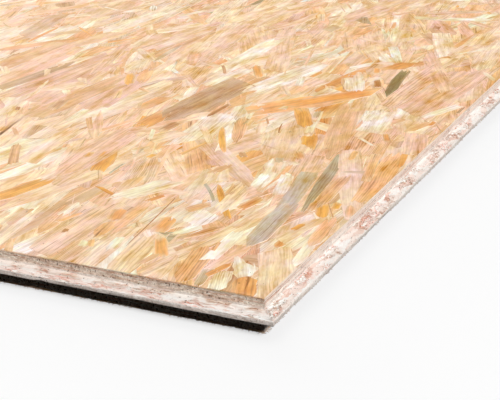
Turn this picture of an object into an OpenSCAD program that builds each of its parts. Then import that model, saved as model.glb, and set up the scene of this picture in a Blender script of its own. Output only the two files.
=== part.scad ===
// Tongue and groove OSB board for laying floors and roofs.
//
// The board is one piece. A pressed mat of wood strands is sawn to size and then
// run past two pairs of profile cutters: the first pair works the two long sides,
// the second pair the two short ones. Each pair cuts its section along the whole
// side, corners included, so the board is what both passes leave: the two tongues
// meet in a mitred corner, the two grooves run into each other, and at the other
// two corners a groove cuts the end off a tongue.
//
// Millimetres, +Z up. The origin is the middle of the underside, measured over
// the tongues. The board's length runs along X. The tongues are on the -X and -Y
// sides, the grooves on the +X and +Y sides.

/* [Board] */
// Length that one board covers when it is laid, tongue not counted
cover_length = 2050; // [600:10:5000]
// Width that one board covers when it is laid, tongue not counted
cover_width = 675; // [300:5:1250]
// Thickness of the board
thickness = 18; // [15:0.5:25]

/* [Tongue] */
// How far the tongue stands out from its shoulder
tongue_length = 7.8; // [5:0.1:9.5]
// Height of the shoulder above the tongue
upper_shoulder = 5.6; // [3:0.1:9]
// Thickness of the tongue where it leaves the shoulder
tongue_root = 5.6; // [4.5:0.1:7]
// Thickness of the tongue at its tip
tongue_tip = 2.6; // [2.2:0.1:4]
// Radius of the two long edges of the tip
tip_radius = 0.6; // [0.2:0.1:1]

/* [Groove] */
// Gap that a laid tongue has above it and below it
flank_clearance = 0.2; // [0.1:0.05:0.5]
// Gap that a laid tongue has in front of its tip
floor_clearance = 0.8; // [0.3:0.1:2]
// Radius of the two inner corners at the groove's floor
floor_radius = 0.5; // [0.2:0.1:0.9]
// How far the lower lip stands back, so that the upper joint always closes
lip_setback = 0.7; // [0.2:0.1:2]

/* [Hidden] */

// Colour of the wood strands
strand_color = "#efd3b2";

overall_length = cover_length + tongue_length;
overall_width = cover_width + tongue_length;

// Height of the middle of the tongue and of the groove above the underside
joint_height = thickness - upper_shoulder - tongue_root / 2;
// How much half the tongue's thickness shrinks over each millimetre of its length
flank_slope = (tongue_root - tongue_tip) / 2 / tongue_length;

groove_depth = tongue_length + floor_clearance;
groove_mouth = tongue_root + 2 * flank_clearance;
groove_floor = groove_mouth - 2 * flank_slope * groove_depth;

// Length by which a cutter runs past the board, and a cut past a face
run_out = 20;
// Number of sides with which a circle is drawn
arc_sides = 48;

// Where the shoulders of the two tongues lie in the board's own frame
shoulder_x = overall_length / -2 + tongue_length;
shoulder_y = overall_width / -2 + tongue_length;

// Outline of a tongue, or of the space in a groove, along the first axis. It is
// root thick at 0 and tip thick at reach, and its two outer corners are arcs that
// touch the flank and the end. The tail makes it overlap what carries it.
module wedge(reach, root, tip, radius, tail) {
    flank_angle = atan((root - tip) / 2 / reach);
    // From the sharp corner to where its arc begins, along the flank and the end
    setoff = radius / tan(45 + flank_angle / 2);
    flank_end = [reach - setoff * cos(flank_angle), tip / 2 + setoff * sin(flank_angle)];
    end_half = tip / 2 - setoff;

    polygon([
        [-tail, -root / 2],
        [0, -root / 2],
        [flank_end.x, -flank_end.y],
        [reach, -end_half],
        [reach, end_half],
        [flank_end.x, flank_end.y],
        [0, root / 2],
        [-tail, root / 2],
    ]);
    for (side = [-1, 1])
        translate([reach - radius, side * end_half])
            circle(r = radius, $fn = arc_sides);
}

// The tongue, pointing along -X from its shoulder at 0
module tongue_outline() {
    translate([0, joint_height])
        mirror([1, 0])
            wedge(tongue_length, tongue_root, tongue_tip, tip_radius, run_out);
}

// What the cutter takes out of the other side: the groove, open towards +X at 0,
// and the strip by which the lower lip stands back
module groove_outline() {
    translate([0, joint_height])
        mirror([1, 0])
            wedge(groove_depth, groove_mouth, groove_floor, floor_radius, run_out);
    translate([-lip_setback, -run_out])
        square([lip_setback + run_out, run_out + joint_height]);
}

// Section across a board that covers the given width: tongue at 0, groove at cover
module joint_section(cover) {
    difference() {
        union() {
            square([cover, thickness]);
            tongue_outline();
        }
        translate([cover, 0])
            groove_outline();
    }
}

// The section carried along X for the length of the board and past both ends
module long_side_pass() {
    translate([-overall_length / 2 - run_out, shoulder_y, 0])
        rotate([90, 0, 90])
            linear_extrude(overall_length + 2 * run_out)
                joint_section(cover_width);
}

// The section carried along Y for the width of the board and past both sides
module short_side_pass() {
    translate([shoulder_x, overall_width / 2 + run_out, 0])
        rotate([90, 0, 0])
            linear_extrude(overall_width + 2 * run_out)
                joint_section(cover_length);
}

// The finished board: the wood that both passes leave
module osb_board() {
    color(strand_color)
        intersection() {
            long_side_pass();
            short_side_pass();
        }
}

osb_board();
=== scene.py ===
"""Looks of a tongue and groove OSB board that lies on a pale studio floor.

The board is shown as it is made: a body that carries the milled edges, and on both faces a mat of
separate wood strands, pressed flat over one another. Everything is in metres, in the board's own
frame: +Z up, the origin in the middle of the underside, the length along X, the tongues on the -X
and -Y sides and the grooves on the +X and +Y sides.
"""

from __future__ import annotations

import logging
import math
from dataclasses import dataclass, field, fields
from enum import Enum
from typing import Any

import bpy
import numpy as np
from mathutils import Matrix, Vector


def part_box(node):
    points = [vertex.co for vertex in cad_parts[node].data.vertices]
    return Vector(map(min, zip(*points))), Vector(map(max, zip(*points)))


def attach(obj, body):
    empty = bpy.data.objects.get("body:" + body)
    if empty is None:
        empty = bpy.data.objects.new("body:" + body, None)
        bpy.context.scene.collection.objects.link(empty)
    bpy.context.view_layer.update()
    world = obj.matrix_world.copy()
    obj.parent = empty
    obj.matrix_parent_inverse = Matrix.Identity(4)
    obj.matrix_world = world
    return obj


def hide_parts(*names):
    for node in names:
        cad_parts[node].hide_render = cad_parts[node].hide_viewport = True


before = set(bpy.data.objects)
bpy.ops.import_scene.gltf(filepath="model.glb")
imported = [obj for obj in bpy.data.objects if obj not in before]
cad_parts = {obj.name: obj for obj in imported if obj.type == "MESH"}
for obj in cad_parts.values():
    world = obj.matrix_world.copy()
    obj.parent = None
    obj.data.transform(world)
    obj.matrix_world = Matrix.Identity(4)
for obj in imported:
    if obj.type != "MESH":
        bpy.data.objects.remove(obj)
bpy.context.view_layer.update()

LOG = logging.getLogger("osb_board")

MM = 0.001
WHITE = (1.0, 1.0, 1.0)
NODE = "osb_board"
STRAND_MAP = "Strand"
RIM_MAP = "Rim"
BAKE_MAP = "OFBake"
TINT = "strand_tint"
FIGURE = "strand_figure"
WOOD_GLOSS = 0.08

Array = np.ndarray
Stops = tuple[tuple[float, str], ...]


# Small helpers for numbers and colours


def linear(code: str) -> Array:
    """Return the linear red, green and blue of a colour.

    Args:
        code: The colour as six hexadecimal digits, as it looks on a screen.

    Returns:
        Three numbers from 0 to 1.
    """
    screen = np.array([int(code[i : i + 2], 16) for i in (0, 2, 4)]) / 255
    return np.where(screen <= 0.04045, screen / 12.92, ((screen + 0.055) / 1.055) ** 2.4)


def ease(low: float, high: float, value: Array) -> Array:
    """Return 0 below low, 1 above high, and a smooth step between them.

    Args:
        low: Where the step begins.
        high: Where the step ends.
        value: Numbers to ease.

    Returns:
        Numbers from 0 to 1, by the formula 3 t^2 - 2 t^3 with t the place between low and high.
    """
    t = np.clip((value - low) / (high - low), 0, 1)
    return t * t * (3 - 2 * t)


class Lattice:
    """A smooth random field over a plane: seeded values on a square lattice, eased between."""

    def __init__(self, seed: int, size: int = 512) -> None:
        """Draw the lattice's values.

        Args:
            seed: Seed of the draw.
            size: Points of the lattice each way, after which it repeats.
        """
        self.values = np.random.default_rng(seed).random((size, size))

    def at(self, a: Array, b: Array) -> Array:
        """Return the field's value at places given in steps of the lattice.

        Args:
            a: First coordinate, in steps.
            b: Second coordinate, in steps.

        Returns:
            Values from 0 to 1: each is the mean of the four lattice values round it, weighted by
            the eased distance to them.
        """
        size = len(self.values)
        i, j = np.floor(a).astype(int), np.floor(b).astype(int)
        f, g = ease(0, 1, a - i), ease(0, 1, b - j)
        i, j, k, m = i % size, j % size, (i + 1) % size, (j + 1) % size
        low = self.values[i, j] * (1 - g) + self.values[i, m] * g
        high = self.values[k, j] * (1 - g) + self.values[k, m] * g
        return low * (1 - f) + high * f


# Shader maths


class Link:
    """A value among shader nodes. Python's operators on it add the Math nodes they need."""

    def __init__(self, graph: Graph, socket: bpy.types.NodeSocket) -> None:
        """Wrap a socket.

        Args:
            graph: The nodes that the socket is among.
            socket: The output that holds the value.
        """
        self.graph = graph
        self.socket = socket

    def __add__(self, other: Link | float) -> Link:
        """Return the sum."""
        return self.graph.math("ADD", self, other)

    def __sub__(self, other: Link | float) -> Link:
        """Return the difference."""
        return self.graph.math("SUBTRACT", self, other)

    def __rsub__(self, other: float) -> Link:
        """Return the difference from a number."""
        return self.graph.math("SUBTRACT", other, self)

    def __mul__(self, other: Link | float) -> Link:
        """Return the product."""
        return self.graph.math("MULTIPLY", self, other)

    __radd__ = __add__
    __rmul__ = __mul__


class Graph:
    """The nodes of a material or of the world, which Python expressions add to."""

    def __init__(self, owner: bpy.types.Material | bpy.types.World) -> None:
        """Start with nothing but an output.

        Args:
            owner: What the nodes belong to.
        """
        owner.use_nodes = True
        self.owner = owner
        self.tree = owner.node_tree
        self.tree.nodes.clear()
        self.output = self.tree.nodes.new("ShaderNodeOutput" + type(owner).__name__)

    def add(
        self,
        kind: str,
        settings: dict[str, Any] | None = None,
        inputs: dict[str | int, Any] | None = None,
        output: str | int = 0,
    ) -> Link:
        """Add a node.

        Args:
            kind: The node's type, without its prefix ShaderNode.
            settings: What is set on the node first, such as its operation or a ramp's stops.
            inputs: A number, colour or link for each input that isn't left alone.
            output: The output to return.

        Returns:
            The node's output, with the values linked to its inputs or set on them.
        """
        node = self.tree.nodes.new("ShaderNode" + kind)
        for name, value in (settings or {}).items():
            if name == "stops":
                self._fill_ramp(node.color_ramp, value)
            else:
                setattr(node, name, value)
        for name, value in (inputs or {}).items():
            self.feed(node.inputs[name], value)
        return Link(self, node.outputs[output])

    @staticmethod
    def _fill_ramp(ramp: bpy.types.ColorRamp, stops: Stops) -> None:
        """Give a ramp its stops.

        Args:
            ramp: The ramp.
            stops: Each stop's place from 0 to 1, and its colour.
        """
        while len(ramp.elements) < len(stops):
            ramp.elements.new(1.0)
        for element, (place, code) in zip(ramp.elements, stops):
            element.position = place
            element.color = (*linear(code), 1.0)

    def ramp(self, value: Link, stops: Stops) -> Link:
        """Return the colour that stops give a value."""
        return self.add("ValToRGB", {"stops": stops}, {0: value})

    def feed(self, socket: bpy.types.NodeSocket, value: Any) -> None:
        """Link a value to an input, or set a constant on it.

        Args:
            socket: The input.
            value: A link, a number, a colour or vector, a screen colour's code, or the name of a
                tone or shade.
        """
        if isinstance(value, Enum):
            value = value.value
        if isinstance(value, str):
            value = linear(value)
        if isinstance(value, Link):
            self.tree.links.new(value.socket, socket)
        elif isinstance(value, (tuple, list, np.ndarray)):
            room = len(socket.default_value)
            socket.default_value = (*[float(v) for v in value], 1.0)[:room]
        else:
            socket.default_value = value

    def math(self, operation: str, *values: Link | float) -> Link:
        """Return the result of a Math node on links and numbers."""
        return self.add("Math", {"operation": operation}, dict(enumerate(values)))

    def combine(self, x: Link | float, y: Link | float, z: Link | float) -> Link:
        """Return a vector made of three values."""
        return self.add("CombineXYZ", None, {0: x, 1: y, 2: z})

    def split(self, vector: Link) -> tuple[Link, Link, Link]:
        """Return the three parts of a vector.

        Args:
            vector: A vector or colour.

        Returns:
            Its X, Y and Z, or its red, green and blue.
        """
        first = self.add("SeparateXYZ", None, {0: vector})
        node = first.socket.node
        return first, Link(self, node.outputs[1]), Link(self, node.outputs[2])

    def noise(self, vector: Link, detail: float = 2.0, rough: float = 0.5) -> Link:
        """Return smooth noise at a vector, from 0 to 1."""
        inputs = {"Vector": vector, "Scale": 1.0, "Detail": detail, "Roughness": rough}
        return self.add("TexNoise", None, inputs)

    def step(self, value: Link, low: float, high: float) -> Link:
        """Return 0 below low and 1 above high, smooth between them."""
        inputs = {"Value": value, "From Min": low, "From Max": high}
        return self.add("MapRange", {"interpolation_type": "SMOOTHSTEP"}, inputs)

    def mix(self, amount: Link | float, a: Any, b: Any, blend: str = "MIX") -> Link:
        """Return colour a with colour b blended over it by amount."""
        settings = {"data_type": "RGBA", "blend_type": blend}
        return self.add("Mix", settings, {0: amount, 6: a, 7: b}, 2)

    def shade(self, amount: Link | float, colour: Link, by: Shade | Link) -> Link:
        """Return a colour multiplied by a shade or by another colour, as far as amount says."""
        return self.mix(amount, colour, by, "MULTIPLY")

    def dim(self, colour: Link, tone: Link) -> Link:
        """Return a colour with its three parts multiplied by the same value."""
        return self.shade(1.0, colour, self.combine(tone, tone, tone))

    def seen(self) -> Link:
        """Return 1 where a surface is seen by the camera, in a mirror or through glass."""
        path = self.add("LightPath").socket.node
        names = ("Is Camera Ray", "Is Glossy Ray", "Is Transmission Ray")
        camera, mirror, glass = [Link(self, path.outputs[name]) for name in names]
        return self.math("MAXIMUM", self.math("MAXIMUM", camera, mirror), glass)

    def close(self, shader: Link) -> bpy.types.Material | bpy.types.World:
        """Return what the nodes belong to, with a shader as its surface."""
        self.feed(self.output.inputs["Surface"], shader)
        return self.owner

    def wood(self, colour: Link, rough: Link, height: Link, depth: float) -> bpy.types.Material:
        """Close the material with a wood surface.

        Args:
            colour: The surface's colour.
            rough: Its roughness.
            height: Relief from 0 to 1, for the bump.
            depth: How deep a relief of 1 is, in metres.

        Returns:
            The material.
        """
        bump = self.add("Bump", None, {"Height": height, "Distance": depth, "Strength": 1.0})
        inputs = {"Base Color": colour, "Roughness": rough, "Normal": bump}
        inputs["Specular IOR Level"] = WOOD_GLOSS
        return self.close(self.add("BsdfPrincipled", None, inputs))


# Meshes


def make_piece(
    name: str,
    places: Array,
    rings: list[Array],
    maps: dict[str, Array],
    tones: dict[str, Array],
    materials: list[bpy.types.Material],
    slots: Array | None = None,
    smooth: Array | None = None,
) -> bpy.types.Object:
    """Make an object from arrays.

    Args:
        name: The object's name.
        places: Vertex places, one row each.
        rings: Faces as rows of vertex numbers. Each array holds faces with one count of corners.
        maps: For each UV map, one place for every corner of every face, in the same order.
        tones: For each colour attribute, one colour for every face.
        materials: The object's materials.
        slots: For every face, which of the materials it has.
        smooth: For every face, whether it is shaded smooth. All are flat without it.

    Returns:
        The object, linked to the scene.
    """
    mesh = bpy.data.meshes.new(name)
    corners = np.concatenate([ring.ravel() for ring in rings]).astype(np.int32)
    counts = np.concatenate([np.full(len(ring), ring.shape[1]) for ring in rings])
    mesh.vertices.add(len(places))
    mesh.vertices.foreach_set("co", places.astype(np.float32).ravel())
    mesh.loops.add(len(corners))
    mesh.loops.foreach_set("vertex_index", corners)
    mesh.polygons.add(len(counts))
    starts = np.concatenate([[0], np.cumsum(counts)[:-1]]).astype(np.int32)
    mesh.polygons.foreach_set("loop_start", starts)
    for map_name, spots in maps.items():
        layer = mesh.uv_layers.new(name=map_name)
        layer.uv.foreach_set("vector", spots.astype(np.float32).ravel())
    for tone_name, colours in tones.items():
        layer = mesh.attributes.new(tone_name, "FLOAT_COLOR", "FACE")
        layer.data.foreach_set("color", colours.astype(np.float32).ravel())
    for material in materials:
        mesh.materials.append(material)
    if slots is not None:
        mesh.polygons.foreach_set("material_index", slots.astype(np.int32))
    shading = np.zeros(len(counts), bool) if smooth is None else smooth
    mesh.polygons.foreach_set("use_smooth", shading)
    mesh.update(calc_edges=True)
    piece = bpy.data.objects.new(name, mesh)
    bpy.context.scene.collection.objects.link(piece)
    return piece


# The board's section


@dataclass(frozen=True)
class Wedge:
    """A tapered bar with two rounded outer corners: a tongue, or the space in a groove.

    Attributes:
        reach: Its length.
        root: Its thickness at its root or mouth.
        tip: Its thickness at its tip or floor.
        radius: Radius of its outer corners.
    """

    reach: float
    root: float
    tip: float
    radius: float

    @property
    def slope(self) -> float:
        """How much half the thickness shrinks over each metre of length."""
        return (self.root - self.tip) / 2 / self.reach

    @property
    def arc(self) -> tuple[float, float]:
        """Heights above the middle at which an outer corner's arc ends and begins."""
        angle = math.atan(self.slope)
        setoff = self.radius / math.tan(math.pi / 4 + angle / 2)
        return self.tip / 2 - setoff, self.tip / 2 + setoff * math.sin(angle)

    def length_at(self, height: Array) -> Array:
        """Return how far the wedge reaches at heights above or below its middle.

        Args:
            height: Heights from the middle, of either sign.

        Returns:
            The straight flank's length outside the arc, and on the arc the length of the circle
            that touches the flank and the end, so the end is flat between the two arcs.
        """
        inner, outer = self.arc
        off = np.abs(height)
        flank = np.clip((self.root / 2 - off) / self.slope, 0, self.reach)
        rise = np.clip((off - inner) / self.radius, 0, 1)
        bend = self.reach - self.radius * (1 - np.sqrt(1 - rise * rise))
        return np.where(off < outer, bend, flank)


@dataclass(frozen=True)
class JointSection:
    """The section that the cutters leave, in metres, with the same sizes as the construction.

    Attributes:
        thickness: Thickness of the board.
        upper_shoulder: Height of the shoulder above the tongue.
        tongue: The tongue.
        flank_clearance: Gap on each flank of a laid tongue.
        floor_clearance: Gap in front of a laid tongue.
        floor_radius: Radius of the groove's inner corners.
        lip_setback: How far the lower lip stands back.
        flank_rows: Rows of the mesh on a flank of the tongue.
        shoulder_rows: Rows of the mesh on a shoulder or lip.
    """

    thickness: float
    upper_shoulder: float = 5.6 * MM
    tongue: Wedge = Wedge(7.8 * MM, 5.6 * MM, 2.6 * MM, 0.6 * MM)
    flank_clearance: float = 0.2 * MM
    floor_clearance: float = 0.8 * MM
    floor_radius: float = 0.5 * MM
    lip_setback: float = 0.7 * MM
    flank_rows: int = 9
    shoulder_rows: int = 6

    @property
    def middle(self) -> float:
        """Height of the middle of the tongue above the underside."""
        return self.thickness - self.upper_shoulder - self.tongue.root / 2

    @property
    def groove(self) -> Wedge:
        """The space in the groove: the tongue with the clearances round it."""
        mouth = self.tongue.root + 2 * self.flank_clearance
        depth = self.tongue.reach + self.floor_clearance
        floor = mouth - 2 * self.tongue.slope * depth
        return Wedge(depth, mouth, floor, self.floor_radius)

    def tongue_side(self, height: Array) -> Array:
        """Return how far the tongue's side stands out from its shoulder at a height."""
        return self.tongue.length_at(height - self.middle)

    def groove_side(self, height: Array) -> Array:
        """Return how far the groove's side stands back from its upper lip at a height."""
        depth = self.groove.length_at(height - self.middle)
        return np.where(height < self.middle, np.maximum(depth, self.lip_setback), depth)

    def levels(self, low: float, high: float) -> Array:
        """Return the heights at which the section is sampled.

        Args:
            low: Lowest height.
            high: Highest height.

        Returns:
            Heights from high to low, close together on the flanks and the arcs, with one at
            every corner of the tongue and of the groove.
        """
        inner, outer = self.tongue.arc
        root, mouth = self.tongue.root / 2, self.groove.root / 2
        middle = self.middle
        arc = inner + (outer - inner) * np.array([0.0, 0.4, 0.7, 0.9, 1.0])
        flank = np.linspace(outer, root, self.flank_rows + 1)[1:]
        half = np.concatenate([arc, flank, [mouth]])
        above = np.linspace(middle + mouth, high, self.shoulder_rows + 1)[1:]
        below = np.linspace(low, middle - mouth, self.shoulder_rows + 1)[:-1]
        inside = np.concatenate([middle - half[::-1], middle + half])
        return np.concatenate([below, inside, above])[::-1]


# Colours of the wood


class Tone(Enum):
    """Colours of the strands, as screen colours in bright light."""

    MILK = "F8EDD2"
    IVORY = "F9E7CB"
    CREAM = "F7D8B1"
    SAND = "F3CFA8"
    PEACH = "F2C5A0"
    BLUSH = "EBBD9F"
    TAN = "E6B583"
    HONEY = "EFB97E"
    APRICOT = "F7C08A"
    MARIGOLD = "F7B46C"
    GOLD = "F2A754"
    AMBER = "E8A359"
    OCHRE = "EBAA4C"
    CLAY = "CE9868"
    RUST = "BC7F40"
    TAUPE = "D5B893"
    ASH = "CFBAA1"
    DUSK = "CDA378"
    SLATE = "BFA984"
    MOSS = "957F49"


class Shade(Enum):
    """What flaws, fibres and painted shade leave of the wood's red, green and blue."""

    PINK_STREAK = (0.90, 0.52, 0.44)
    BROWN_STREAK = (0.60, 0.42, 0.31)
    CHIP = (0.78, 0.56, 0.43)
    SEAM = (0.62, 0.45, 0.38)
    # Painted shade in the corner at a tongue's root.
    ROOT = (0.80, 0.69, 0.60)
    RIM = (0.93, 0.89, 0.86)
    FIBRE_LINE = (0.76, 0.60, 0.54)
    PALE_END_GRAIN = (1.0, 0.94, 0.86)
    DARK_END_GRAIN = (0.68, 0.54, 0.43)
    LONG_GRAIN = (0.99, 0.915, 0.86)
    ARRIS = (0.55, 0.40, 0.30)
    SPECK = (0.18, 0.11, 0.07)
    YELLOW_WOOD = (1.0, 1.03, 0.88)
    PINK_WOOD = (1.0, 0.95, 1.04)
    RESIN = (1.02, 0.86, 0.56)
    PORE = (0.55, 0.38, 0.24)
    BARK = (0.30, 0.18, 0.10)


SHARES = {
    Tone.SAND: 0.20,
    Tone.PEACH: 0.20,
    Tone.CREAM: 0.19,
    Tone.IVORY: 0.11,
    Tone.MILK: 0.06,
    Tone.BLUSH: 0.07,
    Tone.TAN: 0.05,
    Tone.HONEY: 0.06,
    Tone.APRICOT: 0.06,
    Tone.AMBER: 0.025,
    Tone.OCHRE: 0.02,
    Tone.CLAY: 0.012,
    Tone.RUST: 0.006,
    Tone.TAUPE: 0.012,
    Tone.DUSK: 0.008,
    Tone.SLATE: 0.004,
    Tone.MOSS: 0.002,
}


@dataclass(frozen=True)
class Palette:
    """The random colours of the strands.

    Attributes:
        common: How many of the first tones are the common ones.
        blend: Greatest share of a common tone in any colour.
        warmth: What a warm strand loses of red, green and blue, for one spread of the warmth.
        brightness: Spread of the brightness.
        brightest: Upper limit of red, green and blue.
    """

    common: int = 3
    blend: float = 0.45
    warmth: tuple[float, float, float] = (-0.01, 0.02, 0.07)
    brightness: float = 0.02
    brightest: float = 0.97

    def draw(self, rng: np.random.Generator, count: int) -> Array:
        """Return random colours.

        Args:
            rng: Source of the draws.
            count: How many.

        Returns:
            Linear colours, each a tone with a little of a common tone in it, and a brightness and
            warmth of its own.
        """
        tones = np.stack([linear(tone.value) for tone in SHARES])
        odds = np.array(list(SHARES.values()))
        pick = rng.choice(len(tones), count, p=odds / odds.sum())
        other = rng.choice(self.common, count)
        blend = rng.uniform(0, self.blend, (count, 1))
        tint = tones[pick] * (1 - blend) + tones[other] * blend
        warm = rng.spawn(1)[0].normal(0, 1, (count, 1)) * self.warmth
        tint = tint * (rng.normal(1, self.brightness, (count, 1)) - warm)
        return np.clip(tint, 0, self.brightest)


@dataclass(frozen=True)
class Marked:
    """A strand that stands out near the corner between the tongues, in millimetres.

    Attributes:
        tone: Its colour.
        start: One end, measured from that corner along X and Y.
        end: The other end.
        width: Its width.
        bands: How clearly its growth rings show, from 0 to 1.
    """

    tone: Tone
    start: tuple[float, float]
    end: tuple[float, float]
    width: float
    bands: float = 0.3

    @property
    def stained(self) -> bool:
        """Whether it is a small stain rather than a whole strand."""
        stains = (Tone.AMBER, Tone.OCHRE, Tone.APRICOT, Tone.HONEY, Tone.CLAY)
        return self.tone in stains and 4 < self.width < 10

    @property
    def fade(self) -> float:
        """How far its colour fades towards the rim.

        Thin lines don't fade, small stains fade all the way, and the large orange strands more
        than the other ones.
        """
        if self.width < 3:
            return 0.0
        if self.tone in (Tone.MARIGOLD, Tone.GOLD):
            return 0.65
        return 1.0 if self.stained else 0.4

    @property
    def taper(self) -> float:
        """How likely an end is to taper to a point: that of a stain more often."""
        return 0.7 if self.stained else 0.2

    @property
    def teeth(self) -> float:
        """Longest splinters of its ends: long ones on a stain, else as its width allows."""
        return 14.0 if self.stained else min(max(1.2 * self.width, 7.0), 18.0)


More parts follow.
